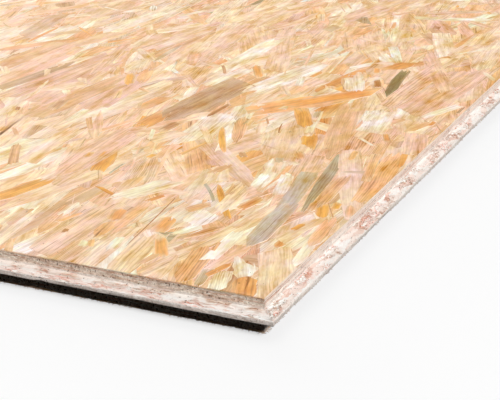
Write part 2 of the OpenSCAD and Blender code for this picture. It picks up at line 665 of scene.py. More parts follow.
MARKED_STRANDS = (
    Marked(Tone.BLUSH, (214, 222), (322, 232), 20, 0.4),
    Marked(Tone.TAN, (196, 248), (310, 242), 18, 0.5),
    Marked(Tone.BLUSH, (222, 262), (340, 270), 22, 0.4),
    Marked(Tone.BLUSH, (226, 290), (350, 280), 18, 0.5),
    Marked(Tone.DUSK, (236, 305), (330, 294), 12, 0.6),
    Marked(Tone.PEACH, (250, 312), (366, 318), 22, 0.4),
    Marked(Tone.TAN, (262, 340), (372, 330), 20, 0.5),
    Marked(Tone.CREAM, (-4, 76), (50, 83), 15, 0.6),
    Marked(Tone.CREAM, (-6, 96), (56, 101), 17, 0.5),
    Marked(Tone.CREAM, (6, -4), (56, 18), 18, 0.4),
    Marked(Tone.AMBER, (-2, 10), (20, 18), 11, 0.5),
    Marked(Tone.IVORY, (-2, 24), (22, 30), 9, 0.8),
    Marked(Tone.MILK, (19, 18), (38, 28), 11, 0.1),
    Marked(Tone.TAUPE, (-2, 34), (20, 38), 5, 0.6),
    Marked(Tone.PEACH, (16, 37), (54, 33), 8, 0.2),
    Marked(Tone.AMBER, (12, 36), (32, 31), 4, 0.3),
    Marked(Tone.HONEY, (-3, 43), (50, 52), 12, 1),
    Marked(Tone.SAND, (-2, 56), (30, 60), 7, 0.3),
    Marked(Tone.CREAM, (0, 66), (114, 37), 9, 0.5),
    Marked(Tone.IVORY, (30, 43), (72, 45), 8, 0.1),
    Marked(Tone.ASH, (52, 32), (120, 37), 12, 0.3),
    Marked(Tone.IVORY, (40, 2), (72, 6), 6, 0.1),
    Marked(Tone.APRICOT, (63, 4), (112, 9), 8, 0.4),
    Marked(Tone.AMBER, (58, 19), (70, 20), 5, 0.2),
    Marked(Tone.CREAM, (66, 22), (106, 14), 9, 0.1),
    Marked(Tone.OCHRE, (82, 21), (94, 19), 4, 0.1),
    Marked(Tone.OCHRE, (103, 13), (125, 21), 8, 0.1),
    Marked(Tone.APRICOT, (112, 1), (131, 7), 5, 0.4),
    Marked(Tone.APRICOT, (111, 23), (131, 25), 6, 0.5),
    Marked(Tone.CREAM, (72, 48), (116, 43), 8, 0.2),
    Marked(Tone.AMBER, (96, 59), (121, 55), 7, 0.4),
    Marked(Tone.SLATE, (104, 75), (128, 92), 2, 0),
    Marked(Tone.MILK, (53, 72), (70, 66), 9, 0.1),
    Marked(Tone.IVORY, (66, 72), (91, 72), 16, 0.1),
    Marked(Tone.HONEY, (48, 70), (74, 55), 7, 0.8),
    Marked(Tone.AMBER, (23, 65), (48, 79), 7, 0.3),
    Marked(Tone.PEACH, (12, 71), (28, 69), 4, 0.2),
    Marked(Tone.AMBER, (52, 83), (76, 86), 9, 0.3),
    Marked(Tone.HONEY, (85, 84), (101, 76), 8, 0.7),
    Marked(Tone.TAN, (117, 73), (133, 76), 5, 0.3),
    Marked(Tone.CREAM, (90, 66), (132, 70), 10, 0.1),
    Marked(Tone.OCHRE, (82, 57), (130, 86), 4, 0.5),
    Marked(Tone.APRICOT, (134, 3), (226, 11), 14, 0.7),
    Marked(Tone.AMBER, (195, 2), (226, 8), 4, 0.2),
    Marked(Tone.HONEY, (168, 12), (217, 23), 6, 0.5),
    Marked(Tone.APRICOT, (118, 22), (178, 26), 9, 0.9),
    Marked(Tone.OCHRE, (119, 12), (131, 14), 5, 0.1),
    Marked(Tone.PEACH, (222, 2), (264, 14), 15, 0.5),
    Marked(Tone.SLATE, (108, 27), (232, 44), 8, 0.9),
    Marked(Tone.ASH, (108, 37), (172, 47), 11, 0.4),
    Marked(Tone.HONEY, (199, 33), (217, 36), 4, 0.5),
    Marked(Tone.AMBER, (240, 24), (257, 32), 5, 0.3),
    Marked(Tone.IVORY, (128, 48), (160, 56), 8, 0.1),
    Marked(Tone.MILK, (153, 53), (163, 57), 4, 0),
    Marked(Tone.APRICOT, (130, 57), (180, 61), 4, 0.2),
    Marked(Tone.HONEY, (187, 58), (203, 68), 7, 0.3),
    Marked(Tone.IVORY, (128, 60), (186, 72), 15, 0.2),
    Marked(Tone.MILK, (134, 66), (158, 68), 6, 0.1),
    Marked(Tone.SAND, (160, 64), (180, 70), 5, 0.1),
    Marked(Tone.TAUPE, (177, 69), (187, 73), 5, 0.3),
    Marked(Tone.OCHRE, (209, 64), (239, 74), 10, 0.2),
    Marked(Tone.TAN, (196, 46), (302, 71), 16, 0.4),
    Marked(Tone.IVORY, (237, 75), (263, 81), 5, 0.1),
    Marked(Tone.RUST, (28, 88), (101, 97), 0.8, 0),
    Marked(Tone.MILK, (19, 93), (39, 96), 6, 0.1),
    Marked(Tone.MILK, (19, 108), (27, 110), 5, 0),
    Marked(Tone.HONEY, (20, 103), (31, 109), 3, 0.2),
    Marked(Tone.APRICOT, (38, 104), (92, 108), 8, 0.4),
    Marked(Tone.HONEY, (32, 108), (57, 112), 10, 0.2),
    Marked(Tone.AMBER, (56, 111), (75, 116), 9, 0.2),
    Marked(Tone.AMBER, (89, 109), (103, 104), 4, 0.3),
    Marked(Tone.IVORY, (84, 128), (124, 110), 15, 0.2),
    Marked(Tone.OCHRE, (91, 130), (100, 146), 2.5, 0.2),
    Marked(Tone.TAN, (102, 136), (111, 138), 5, 0.2),
    Marked(Tone.RUST, (32, 126), (37, 127), 3, 0),
    Marked(Tone.IVORY, (51, 140), (73, 142), 6, 0.1),
    Marked(Tone.APRICOT, (42, 137), (60, 132), 3, 0.2),
    Marked(Tone.TAN, (147, 97), (165, 93), 6, 0.3),
    Marked(Tone.BLUSH, (157, 102), (167, 109), 6, 0.2),
    Marked(Tone.CLAY, (179, 92), (187, 98), 4, 0.2),
    Marked(Tone.HONEY, (200, 108), (252, 126), 9, 1),
    Marked(Tone.CREAM, (189, 118), (226, 143), 5, 0.5),
    Marked(Tone.OCHRE, (179, 106), (229, 131), 5, 0.4),
    Marked(Tone.CREAM, (224, 102), (246, 109), 6, 0.1),
    Marked(Tone.CLAY, (242, 104), (257, 112), 1.5, 0),
    Marked(Tone.TAUPE, (235, 121), (249, 124), 8, 0.2),
    Marked(Tone.MILK, (184, 158), (205, 166), 3, 0),
    Marked(Tone.OCHRE, (120, 158), (156, 168), 11, 0.3),
    Marked(Tone.OCHRE, (153, 143), (163, 142), 5, 0.1),
    Marked(Tone.SLATE, (120, 150), (142, 151), 1.5, 0),
    Marked(Tone.RUST, (229, 92), (249, 98), 1.0, 0),
    Marked(Tone.AMBER, (282, 11), (292, 11), 3, 0.1),
    Marked(Tone.HONEY, (263, 21), (293, 12), 7, 0.4),
    Marked(Tone.IVORY, (297, 21), (333, 7), 7, 0.2),
    Marked(Tone.IVORY, (254, 42), (299, 48), 18, 0.2),
    Marked(Tone.DUSK, (315, 3), (331, 3), 2, 0),
    Marked(Tone.PEACH, (300, 30), (430, 22), 30, 0.9),
    Marked(Tone.PEACH, (312, 50), (424, 47), 16, 0.9),
    Marked(Tone.MOSS, (329, 57), (403, 68), 8, 0.6),
    Marked(Tone.MARIGOLD, (262, 128), (312, 92), 25, 0.3),
    Marked(Tone.GOLD, (284, 112), (343, 68), 17, 0.3),
    Marked(Tone.RUST, (351, 70), (369, 77), 5, 0.2),
    Marked(Tone.SAND, (364, 86), (386, 94), 10, 0.2),
    Marked(Tone.AMBER, (385, 83), (401, 88), 6, 0.2),
    Marked(Tone.AMBER, (371, 97), (383, 99), 6, 0.1),
    Marked(Tone.IVORY, (334, 80), (374, 96), 14, 0.2),
    Marked(Tone.TAN, (339, 88), (366, 100), 6, 0.4),
    Marked(Tone.OCHRE, (246, 80), (285, 100), 10, 0.5),
    Marked(Tone.AMBER, (400, 78), (424, 70), 14, 0.3),
    Marked(Tone.TAUPE, (267, 83), (286, 87), 4, 0.2),
    Marked(Tone.APRICOT, (370, 108), (400, 112), 10, 0.2),
    Marked(Tone.AMBER, (357, 122), (373, 120), 4, 0.2),
    Marked(Tone.IVORY, (298, 146), (396, 128), 20, 0.2),
    Marked(Tone.DUSK, (204, 169), (328, 160), 28, 0.8),
    Marked(Tone.AMBER, (203, 176), (238, 175), 13, 0.6),
    Marked(Tone.CLAY, (203, 160), (226, 159), 9, 0.4),
    Marked(Tone.RUST, (240, 147), (273, 146), 3.5, 0.5),
    Marked(Tone.AMBER, (340, 154), (371, 170), 7, 0.3),
    Marked(Tone.CLAY, (341, 181), (361, 192), 2.5, 0.1),
    Marked(Tone.IVORY, (274, 179), (302, 185), 7, 0.1),
    Marked(Tone.OCHRE, (284, 228), (315, 242), 8, 0.3),
    Marked(Tone.APRICOT, (293, 224), (332, 236), 10, 0.3),
    Marked(Tone.OCHRE, (58, 186), (102, 175), 12, 0.4),
    Marked(Tone.PEACH, (104, 174), (208, 180), 24, 0.5),
    Marked(Tone.OCHRE, (139, 177), (151, 178), 5, 0.1),
    Marked(Tone.CLAY, (213, 246), (242, 252), 9, 0.3),
    Marked(Tone.TAN, (111, 209), (147, 229), 6, 0.7),
    Marked(Tone.CREAM, (118, 205), (192, 212), 14, 0.3),
    Marked(Tone.TAN, (159, 237), (171, 247), 3, 0.1),
    Marked(Tone.RUST, (204, 266), (212, 270), 3, 0),
    Marked(Tone.IVORY, (249, 255), (259, 263), 6, 0),
)


@dataclass(frozen=True)
class Cut:
    """A kind of strand, with lengths in millimetres and angles in degrees.

    Attributes:
        share: Its share of a layer's strands.
        length: Mean length, and how much the lengths spread.
        width: Middle of the widths, and the spread of their logarithms.
        turn: Spread of the angles round the face's mean angle.
        taper: How likely an end is to taper to a point.
        teeth: Longest splinters of an end.
    """

    share: float
    length: tuple[float, float]
    width: tuple[float, float]
    turn: float
    taper: float
    teeth: float


@dataclass(frozen=True)
class Layer:
    """A layer of strands, one near every point of a grid, with lengths in millimetres.

    Attributes:
        cell: Spacing of the grid along X and Y.
        jitter: How far a strand may lie from its point, in cells.
        depth: Least and greatest depth under the board's face.
        sides: Outline points along each long side of a strand.
        ends: Outline points across each end.
        cuts: The kinds of strands in it.
    """

    cell: tuple[float, float]
    jitter: float
    depth: tuple[float, float]
    sides: int
    ends: int
    cuts: tuple[Cut, ...]


LAYERS = (
    Layer((112, 27), 0.12, (0.33, 0.38), 3, 3, (Cut(1.0, (146, 3), (36, 0.03), 3, 0.0, 8),)),
    Layer(
        (40, 14.5),
        0.8,
        (0.06, 0.32),
        5,
        6,
        (
            Cut(0.46, (108, 22), (20, 0.35), 17, 0.25, 12),
            Cut(0.38, (88, 24), (10, 0.35), 22, 0.4, 9),
            Cut(0.09, (55, 20), (3.5, 0.35), 20, 0.9, 5),
            Cut(0.07, (55, 14), (13, 0.35), 60, 0.3, 6),
        ),
    ),
    Layer(
        (32, 22),
        0.8,
        (0.045, 0.17),
        2,
        4,
        (
            Cut(0.70, (24, 9), (7, 0.45), 26, 0.3, 7),
            Cut(0.30, (34, 12), (1.8, 0.35), 30, 0.9, 4),
        ),
    ),
)


# Finishes. Where a coordinate is multiplied by a number, the number is repeats per metre.


@dataclass(frozen=True)
class StrandFinish:
    """The pressed faces of the strands: fibres, growth rings, dark pores, resin and specks.

    Attributes:
        name: The material's name.
        relief: Depth of the bump.
        cut_side: Colour of the strands' ends where the board's long sides cut them.
    """

    name: str = "pressed_strands"
    relief: float = 0.12 * MM
    cut_side: str = "FFF4EA"

    def build(self) -> bpy.types.Material:
        """Return the material. It follows each strand's own map and reads its own tint."""
        g = Graph(bpy.data.materials.new(self.name))
        u, v, _ = g.split(g.add("UVMap", {"uv_map": STRAND_MAP}))
        tint = g.add("Attribute", {"attribute_name": TINT})
        figure = g.add("Attribute", {"attribute_name": FIGURE})
        fade = Link(g, figure.socket.node.outputs["Alpha"])
        bands, pores, seed = g.split(figure)
        side = g.math("ABSOLUTE", g.split(g.add("TexCoord", None, None, "Normal"))[1])
        s, t, _ = g.split(g.add("UVMap", {"uv_map": RIM_MAP}))

        shift = seed * 60.0
        sway = g.noise(g.combine(u * 14.0, v * 60.0, shift), 2.0)
        wave = v + sway * 0.005
        fibre = g.noise(g.combine(u * 80.0, wave * 1500.0, shift), 3.0, 0.8)
        streak = g.noise(g.combine(u * 20.0, wave * 330.0 + shift, shift), 3.0, 0.7)
        stain = g.noise(g.combine(u * 24.0 + shift, v * 80.0, shift), 4.0, 0.7)
        pore = g.noise(g.combine(u * 32.0 - shift, v * 950.0, shift), 1.0)
        ring = g.math("SINE", (v + sway * 0.010) * (2900.0 + seed * 2700.0))

        x, y, z = g.split(g.add("TexCoord", None, None, "Object"))
        blotch = g.noise(g.combine(x * 34.0, y * 70.0, 3.0), 3.0, 0.65)
        blush = g.noise(g.combine(x * 30.0 + 40.0, y * 60.0, 9.0), 4.0, 0.75)

        late = g.step(ring + (streak - 0.5) * 3.0, -0.2, 0.9) * bands
        fine = (streak - 0.5) * 2.6 + (fibre - 0.5) * 1.7 + late * 0.7
        broad = (stain - 0.5) * 2.7 + (blotch - 0.5) * 2.4 - 0.06
        grade = g.combine(
            0.96 - fine * 0.28 - broad * 0.22,
            0.94 - fine * 0.38 - broad * 0.46,
            0.91 - fine * 0.48 - broad * 0.92,
        )
        rim = g.math("MAXIMUM", g.math("ABSOLUTE", s), g.math("ABSOLUTE", t))
        rim = rim + (stain - 0.5) * 1.8 + (streak - 0.5) * 1.0
        soft = g.step(rim, 0.8 - fade * 0.5, 1.1) * fade
        colour = g.mix(soft, tint, Tone.SAND)
        colour = g.shade(1.0, colour, grade)
        hue = g.mix(g.step(blush, 0.36, 0.64), Shade.YELLOW_WOOD, Shade.PINK_WOOD)
        colour = g.shade(1.0, colour, hue)
        resin = g.noise(g.combine(x * 24.0, y * 62.0, 21.0), 4.0, 0.72)
        colour = g.shade(g.step(resin, 0.60, 0.72) * 0.7, colour, Shade.RESIN)
        dark = g.step(pore, 0.61, 0.70) * pores
        colour = g.shade(dark * 0.7, colour, Shade.PORE)
        colour = self._speckle(g, colour, x, y, z)
        colour = g.mix(g.step(side, 0.5, 0.9) * 0.9, colour, self.cut_side)

        rough = 0.52 + fibre * 0.22
        height = fibre * 0.6 - dark * 0.5 + streak * 0.3
        return g.wood(colour, rough, height, self.relief)

    @staticmethod
    def _speckle(g: Graph, colour: Link, x: Link, y: Link, z: Link) -> Link:
        """Return the colour with a few dark specks of bark and resin on it.

        Args:
            g: The material.
            colour: The colour.
            x: Place along the board.
            y: Place across the board.
            z: Height.

        Returns:
            The colour, dark where a fine noise is high, in the parts where a coarse one is.
        """
        speck = g.noise(g.combine(x * 420.0, y * 520.0, z * 300.0), 2.0, 0.7)
        cloud = g.noise(g.combine(x * 18.0, y * 24.0, z * 18.0), 1.0)
        spots = g.step(speck, 0.675, 0.735) * g.step(cloud, 0.46, 0.62)
        return g.shade(spots * 0.8, colour, Shade.BARK)


@dataclass(frozen=True)
class EdgeFinish:
    """The milled edges, where the cutters show the strands of every layer in section.

    The strands of the two outer layers run along the board, those of the core across it. On the
    shoulders and lips that close the board's length they show brown, rough end grain, with a dark
    arris, and on the long sides pale flanks with thin dark lines and a painted highlight along
    the upper arris. The core is pale, with curled pink and brown streaks on the flanks of a
    tongue, painted shade towards its root, and grey grit on its tip.

    Attributes:
        middle: Height of the middle of the core.
        core: Half the thickness of the core.
        face: Height of the upper face.
        name: The material's name.
        relief: Depth of the bump.
        strands: The cut strands' colours.
        crest: Colour of the highlight painted along the upper arris of a long side.
        tip: The two colours of the grit on a tongue's tip.
        border: Half the width of the border between the core and the outer layers.
        wander: How far that border, and the strands' layers, wander up and down.
        root: Distances from the middle at which a tongue's painted root shade begins and is full.
        rim: Distances from the middle between which the darker tip of a long side's tongue
            passes into its flank.
        arris: Distances from the faces at which the dark arris begins and is full.
        bright: Distances from the upper face at which the painted highlight begins and is full.
    """

    middle: float
    core: float
    face: float
    name: str = "milled_edges"
    relief: float = 0.3 * MM
    strands: Stops = (
        (0.0, "FFFFFC"),
        (0.40, "FFFBF6"),
        (0.60, "FCECE2"),
        (0.75, "FFF9F3"),
        (0.90, "F5DACC"),
        (1.0, "E0B8A2"),
    )
    crest: str = "FFEEDD"
    tip: tuple[str, str] = ("FDF3EA", "D8C8BC")
    border: float = 0.3 * MM
    wander: tuple[float, float] = (1.2 * MM, 2.2 * MM)
    root: tuple[float, float] = (2.1 * MM, 3.1 * MM)
    rim: tuple[float, float] = (2.0 * MM, 2.8 * MM)
    arris: tuple[float, float] = (1.6 * MM, 0.4 * MM)
    bright: tuple[float, float] = (1.8 * MM, 0.4 * MM)

    def build(self) -> bpy.types.Material:
        """Return the material, a solid pattern of strands that the edges cut through."""
        g = Graph(bpy.data.materials.new(self.name))
        x, y, z = g.split(g.add("TexCoord", None, None, "Object"))
        nx, ny, _ = g.split(g.add("TexCoord", None, None, "Normal"))
        nx, ny = g.math("ABSOLUTE", nx), g.math("ABSOLUTE", ny)
        west = g.step(nx - ny, -0.02, 0.02)
        south = 1.0 - west
        run = x * south + y * west
        out = y * south + x * west
        upright = g.step(g.math("MAXIMUM", nx, ny), 0.3, 0.8)

        drift = g.noise(g.combine(x * 75.0, y * 75.0, z * 170.0), 3.0, 0.6)
        off = g.math("ABSOLUTE", z + (drift - 0.5) * self.wander[0] - self.middle)
        outer = g.step(off, self.core - self.border, self.core + self.border)
        inner = 1.0 - outer
        ends = outer * west + inner * south
        cloud = g.noise(g.combine(run * 70.0, out * 90.0 + 7.0, z * 90.0), 2.0, 0.6)
        cluster = g.step(cloud, 0.45, 0.58)

        layer = (z + (drift - 0.5) * self.wander[1]) * 2300.0
        short, short_seam = self._stack(g, run * 75.0, out * 75.0, layer)
        long, long_seam = self._stack(g, run * 10.0, out * 75.0, layer)
        pick, grain, hue = g.split(g.mix(ends, long, short))
        seam = long_seam * (1.0 - ends) + short_seam * ends
        colour = g.ramp(pick, self.strands)

        slow = 160.0 - west * 120.0
        bend = drift * 2.5
        curls = self._curls(g, run * slow, out * 300.0 + bend, z * 300.0)
        fine = self._curls(g, run * slow * 1.8 + 9.0, out * 560.0, z * 560.0)
        curls = g.math("MAXIMUM", curls, fine)
        chip = g.noise(g.combine(run * slow * 1.2, out * 330.0 + bend, z * 330.0 + 5.0), 2.0, 0.6)
        chips = g.step(chip, 0.59, 0.63)
        streak = g.mix(g.step(hue, 0.3, 0.6), Shade.PINK_STREAK, Shade.BROWN_STREAK)
        colour = g.shade(curls * (0.15 + cluster * 0.8) * inner, colour, streak)
        colour = g.shade(chips * cluster * inner * 0.75, colour, Shade.CHIP)
        colour = g.shade(seam * (0.10 + cluster * 0.45), colour, Shade.SEAM)
        # Painted shade: the flanks of a tongue are darkened towards its root, under the shoulder.
        root = g.step(off, *self.root) * west * inner * (0.35 + cluster * 0.65)
        colour = g.shade(root, colour, Shade.ROOT)
        rim = (1.0 - g.step(off, *self.rim)) * south * (1.0 - upright)
        colour = g.shade(rim * 0.7, colour, Shade.RIM)

        fibre = g.noise(g.combine(run * 220.0, out * 1500.0, z * 1500.0), 3.0, 0.8)
        lines = g.step(fibre, 0.52, 0.66)
        colour = g.shade(lines * (0.15 + outer * 0.3), colour, Shade.FIBRE_LINE)
        mottle = g.noise(g.combine(run * 420.0, out * 700.0, z * 700.0), 3.0, 0.75)
        brown = g.mix(g.step(mottle, 0.36, 0.64), Shade.PALE_END_GRAIN, Shade.DARK_END_GRAIN)
        colour = g.shade(outer * west * upright, colour, brown)
        colour = g.shade(outer * south, colour, Shade.LONG_GRAIN)
        arris = g.step(off, *(self.middle - depth for depth in self.arris)) * west * outer
        colour = g.shade(arris * (0.3 + cluster * 0.6), colour, Shade.ARRIS)
        # Painted highlight: the upper arris of a long side is lightened towards a pale peach.
        crest = g.step(z, *(self.face - depth for depth in self.bright)) * south * upright
        colour = g.mix(crest * 0.7, colour, self.crest)
        grey = g.mix(g.step(mottle, 0.30, 0.70), *self.tip)
        colour = g.mix(upright * inner * 0.75, colour, grey)

        speck = g.noise(g.combine(x * 800.0, y * 800.0, z * 900.0), 2.0, 0.6)
        often = 0.665 - outer * west * 0.045 - cluster * grain * 0.05
        spots = g.step(speck - often, 0.0, 0.045)
        colour = g.shade(spots * 0.85, colour, Shade.SPECK)
        grit = g.noise(g.combine(x * 1300.0, y * 1300.0, z * 1500.0), 3.0, 0.85)
        colour = g.dim(colour, 1.0 - (grit - 0.5) * (0.2 + upright * 0.6))

        rough = 0.76 + fibre * 0.2
        height = fibre * 0.4 + grit * 0.5 - curls * 0.3 - spots * 0.6
        return g.wood(colour, rough, height, self.relief)

    @staticmethod
    def _curls(g: Graph, a: Link, b: Link, c: Link) -> Link:
        """Return 1 on thin curled lines, which run where a noise crosses its middle value."""
        value = g.noise(g.combine(a, b, c), 2.0, 0.55)
        return 1.0 - g.step(g.math("ABSOLUTE", value - 0.5), 0.006, 0.030)

    @staticmethod
    def _stack(g: Graph, a: Link, b: Link, c: Link) -> tuple[Link, Link]:
        """Return a random colour for each strand of a layered stack, and the seams between.

        Args:
            g: The material.
            a: Coordinate along the strands, in strand lengths.
            b: Coordinate across them, in strand widths.
            c: Coordinate through them, in strand thicknesses.

        Returns:
            The strand's random colour, and 1 in the seams.
        """
        place = {"Vector": g.combine(a, b, c), "Scale": 1.0}
        cell = g.add("TexVoronoi", {"feature": "F1"}, place, "Color")
        edge = g.add("TexVoronoi", {"feature": "DISTANCE_TO_EDGE"}, place, "Distance")
        return cell, 1.0 - g.step(edge, 0.02, 0.14)


@dataclass(frozen=True)
class MatFinish:
    """What shows of the mat in the gaps between the strands of the faces.

    Attributes:
        name: The material's name.
        relief: Depth of the bump.
        streaks: Colours of the streaks.
    """

    name: str = "mat_between_strands"
    relief: float = 0.3 * MM
    streaks: Stops = ((0.30, "D9A978"), (0.45, "EBC495"), (0.60, "F2D5AF"), (0.75, "EBB888"))

    def build(self) -> bpy.types.Material:
        """Return the material, short crossing streaks in the strands' colours, a shade darker."""
        g = Graph(bpy.data.materials.new(self.name))
        x, y, z = g.split(g.add("TexCoord", None, None, "Object"))
        sway = g.noise(g.combine(x * 30.0, y * 30.0, z * 30.0), 2.0)
        streak = g.noise(g.combine(x * 40.0, y * 260.0 + sway * 6.0, z), 3.0, 0.65)
        fibre = g.noise(g.combine(x * 120.0, y * 1900.0, z), 3.0, 0.6)
        colour = g.dim(g.ramp(streak, self.streaks), 0.84 + fibre * 0.26)
        return g.wood(colour, 0.6 + fibre * 0.25, streak + fibre * 0.4, self.relief)


# The body with its milled edges


@dataclass
class BoardBody:
    """The board's body: at every height a rectangle, whose sides stand where the section is.

    Attributes:
        section: The section of the joint.
        low: Lowest corner of the board's box.
        high: Highest corner of the board's box.
        spacing: Distance between the columns of the mesh along the edges.
        sunk: How far the body's flat faces lie under the faces of the strands.
        core: Half the thickness of the core, whose strands run across the board.
        map_rows: Rows in which the edge is laid out on the bake map.
        map_margin: Share of a row of the bake map that stays free at each side of it.
        sharp: Angle in degrees above which an edge is sharp.
        patches: Length along the edge and height of the patches of each pattern in the relief,
            in millimetres.
        depths: Greatest depth of the roughness, the steps and the pits, in millimetres.
        relief: The patterns: of the roughness, the steps, the pits, and where pits may be.
    """

    section: JointSection
    low: Vector
    high: Vector
    spacing: float = 3.2 * MM
    sunk: float = 0.45 * MM
    core: float = 4.2 * MM
    map_rows: int = 14
    map_margin: float = 0.05
    sharp: float = 38
    patches: tuple[tuple[float, float], ...] = ((3.1, 0.8), (17, 1.3), (6, 1.6), (31, 5))
    depths: tuple[float, float, float] = (0.10, 0.22, 0.9)
    relief: tuple[Lattice, ...] = field(default_factory=lambda: tuple(map(Lattice, range(11, 15))))

    def build(self) -> bpy.types.Object:
        """Return the body as one closed piece."""
        levels = self.section.levels(self.sunk, self.section.thickness - self.sunk)
        rows = self._rows(levels)
        long_side = round((self.high.x - self.low.x) / self.spacing)
        short_side = round((self.high.y - self.low.y) / self.spacing)
        places = self._walls(rows, long_side, short_side)
        count, columns = places.shape[:2]
        walls = self._quads(count, columns)
        caps = self._caps(count, columns, long_side, short_side)
        flat = places.reshape(-1, 3)
        spots = [self._wall_map(rows, columns)]
        spots += [self._cap_map(flat, cap, number % 2) for number, cap in enumerate(caps)]
        maps = {BAKE_MAP: np.concatenate(spots)}
        thickness = self.section.thickness
        edge = EdgeFinish(thickness / 2, self.core, thickness).build()
        materials = [edge, MatFinish().build()]
        slots = np.repeat([0, 1], [len(walls), sum(map(len, caps))])
        piece = make_piece(
            "board_body", flat, [walls, *caps], maps, {}, materials, slots, slots == 0
        )
        piece.data.set_sharp_from_angle(angle=math.radians(self.sharp))
        return piece

    def _rows(self, levels: Array) -> dict[str, Array]:
        """Return the section at each height.

        Args:
            levels: The heights, from the top down.

        Returns:
            For each height, how far the tongue's and the groove's sides stand out, the outward
            and upward parts of their normals, and the distance along the tongue's side.
        """
        rows = {"z": levels}
        for name, out in (
            ("tongue", self.section.tongue_side(levels)),
            ("groove", -self.section.groove_side(levels)),
        ):
            run, drop = np.gradient(out), np.gradient(levels)
            size = np.hypot(run, drop)
            rows[name] = out
            rows[name + "_out"] = -drop / size
            rows[name + "_up"] = run / size
            steps = np.hypot(np.diff(out), np.diff(levels))
            rows[name + "_run"] = np.concatenate([[0], np.cumsum(steps)])
        return rows

    def _walls(self, rows: dict[str, Array], long_side: int, short_side: int) -> Array:
        """Return the places of the edge's vertices, a row of columns round the board per height.

        Args:
            rows: The section at each height.
            long_side: Columns on a long side.
            short_side: Columns on a short side.

        Returns:
            An array of heights by columns by three. A side's column stands at a fixed share of
            the rectangle's side, and its relief moves it inwards along the section's normal.
        """
        tongue, groove = rows["tongue"][:, None], rows["groove"][:, None]
        reach = self.section.tongue.reach
        west, south = self.low.x + reach - tongue, self.low.y + reach - tongue
        east, north = self.high.x + groove, self.high.y + groove
        sides = []
        for number, name in enumerate(("tongue", "groove", "groove", "tongue")):
            columns = (long_side, short_side)[number % 2]
            span = self.high[number % 2] - self.low[number % 2]
            share = np.arange(columns)[None, :] / columns
            cut = self._relief(rows[name + "_run"][:, None], share * span, span, number)
            inward, down = cut * rows[name + "_out"][:, None], cut * rows[name + "_up"][:, None]
            z = rows["z"][:, None] - down
            if number == 0:
                x, y = west + (east - west) * share, south + inward
            elif number == 1:
                x, y = east - inward, south + (north - south) * share
            elif number == 2:
                x, y = east + (west - east) * share, north - inward
            else:
                x, y = west + inward, north + (south - north) * share
            sides.append(np.stack([x + 0 * z, y + 0 * z, z + 0 * x], -1))
        return np.concatenate(sides, 1)

    def _relief(self, run: Array, along: Array, span: float, side: int) -> Array:
        """Return how far the cut surface lies under the section.

        Args:
            run: Distance down the section.
            along: Distance along the side.
            span: Length of the side.
            side: Number of the side, which shifts the pattern.

        Returns:
            Depths: a fine roughness, shallow steps where the cutter followed a strand, and a few
            pits where one broke out, fading to nothing at the side's ends. Steps and pits are
            where their patterns are high.
        """
        shifted = along + side * 3.7
        fine, steps, pits, where = (
            pattern.at(shifted / (length * MM), run / (height * MM))
            for pattern, (length, height) in zip(self.relief, self.patches)
        )
        roughness, step, pit = self.depths
        depth = roughness * fine + step * ease(0.5, 0.8, steps)
        depth = depth + pit * ease(0.74, 0.92, pits) * ease(0.4, 0.7, where)
        return depth * MM * ease(0, 4 * MM, np.minimum(along, span - along))

    @staticmethod
    def _quads(count: int, columns: int) -> Array:
        """Return the faces of a band of rows and columns that closes on itself.

        Args:
            count: Rows, from the top down.
            columns: Columns, anticlockwise from above.

        Returns:
            Vertex numbers of one quad between every two rows and every two columns.
        """
        upper, here = np.meshgrid(np.arange(count - 1), np.arange(columns), indexing="ij")
        after = (here + 1) % columns
        corners = [
            upper * columns + here,
            (upper + 1) * columns + here,
            (upper + 1) * columns + after,
            upper * columns + after,
        ]
        return np.stack(corners, -1).reshape(-1, 4)

    @staticmethod
    def _caps(
        count: int, columns: int, long_side: int, short_side: int
    ) -> tuple[Array, Array, Array, Array]:
        """Return the faces of the two flat faces: strips across the board, and a face at each end.

        Args:
            count: Rows of the edge.
            columns: Columns of the edge.
            long_side: Columns on a long side.
            short_side: Columns on a short side.

        Returns:
            The strips of the upper and the lower face, then the end faces of both.
        """
        here = np.arange(1, long_side - 1)
        across = 2 * long_side + short_side - here
        strips = np.stack([here, here + 1, across - 1, across], -1)
        corner = 2 * long_side + short_side
        west = np.concatenate([[0, 1, corner - 1], np.arange(corner, columns)])
        east = np.arange(long_side - 1, long_side + short_side + 2)
        ends = np.stack([west, east])
        base = (count - 1) * columns
        return strips, base + strips[:, ::-1], ends, base + ends[:, ::-1]

    def _wall_map(self, rows: dict[str, Array], columns: int) -> Array:
        """Return the edge's places on the bake map, cut into rows that lie over one another.

        Args:
            rows: The section at each height.
            columns: Columns of the edge.

        Returns:
            A place for every corner of every quad.
        """
        share = 1 - rows["tongue_run"] / rows["tongue_run"][-1]
        per_row = -(-columns // self.map_rows)
        upper, here = np.meshgrid(np.arange(len(share) - 1), np.arange(columns), indexing="ij")
        row, place = here // per_row, here % per_row
        left, right = place / per_row, (place + 1) / per_row
        above, below = self._in_row(row, share[upper]), self._in_row(row, share[upper + 1])
        corners = [(left, above), (left, below), (right, below), (right, above)]
        return np.stack([np.stack(corner, -1) for corner in corners], -2).reshape(-1, 2)

    def _cap_map(self, places: Array, faces: Array, number: int) -> Array:
        """Return the places of a flat face's corners on the bake map, above the edge's rows.

        Args:
            places: Places of all vertices.
            faces: Faces that make up the flat face.
            number: 0 for the upper face and 1 for the lower.

        Returns:
            A place for every corner of every face.
        """
        corners = places[faces.ravel()]
        u = (corners[:, 0] - self.low.x) / (self.high.x - self.low.x)
        v = (corners[:, 1] - self.low.y) / (self.high.y - self.low.y)
        return np.stack([u, self._in_row(self.map_rows + number, v)], -1)

    def _in_row(self, row: Array | int, share: Array) -> Array:
        """Return heights on the bake map from a row's number and the share of its height."""
        inside = self.map_margin + (1 - 2 * self.map_margin) * share
        return (row + inside) / (self.map_rows + 2)


